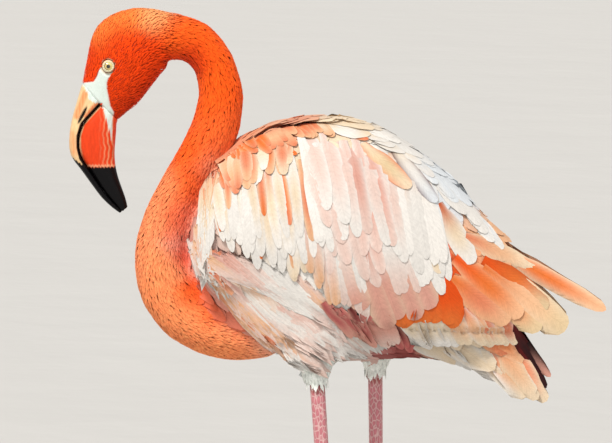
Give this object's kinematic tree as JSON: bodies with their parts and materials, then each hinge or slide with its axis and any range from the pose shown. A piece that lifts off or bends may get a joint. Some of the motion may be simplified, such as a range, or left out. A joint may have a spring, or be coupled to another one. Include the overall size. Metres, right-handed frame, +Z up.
{
  "type": "flamingo model",
  "caption": "Life-size standing flamingo, still: looped neck, bent bill pointing down, folded wings, drooping tail, long thin legs on webbed feet.",
  "frame": {"origin": "on the floor, under the middle of the bird's length and width", "axes": "+Z up; the bird faces -Y; its left side is +X"},
  "size_m": [0.1694, 0.5045, 0.863],
  "materials": {
    "plumage_coral": "coral orange feathers, matt",
    "plumage_blush": "cream to pink feathers, matt",
    "plumage_tangerine": "light orange feathers, matt",
    "bill_pale": "pale horn, satin",
    "bill_red": "orange-red horn, satin",
    "leg_skin": "pink scaly skin",
    "claw": "dark horn, satin",
    "eye": "pale yellow, wet gloss"
  },
  "bodies": {
    "root": {"head": "plumage_coral", "bill_upper": "bill_pale", "bill_lower": "bill_red", "neck_arch": "plumage_coral", "neck_upper": "plumage_coral", "neck_lower": "plumage_coral", "neck_base": "plumage_coral", "trunk": "plumage_blush", "tail": "plumage_tangerine", "eye_left": "eye", "wing_left": "plumage_blush", "wing_tip_left": "plumage_tangerine", "thigh_left": "plumage_blush", "shin_left": "leg_skin", "ankle_left": "leg_skin", "shank_left": "leg_skin", "foot_left": "leg_skin", "claw_outer_left": "claw", "claw_middle_left": "claw", "claw_inner_left": "claw", "eye_right": "eye", "wing_right": "plumage_blush", "wing_tip_right": "plumage_tangerine", "thigh_right": "plumage_blush", "shin_right": "leg_skin", "ankle_right": "leg_skin", "shank_right": "leg_skin", "foot_right": "leg_skin", "claw_outer_right": "claw", "claw_middle_right": "claw", "claw_inner_right": "claw"}
  },
  "joints": []
}
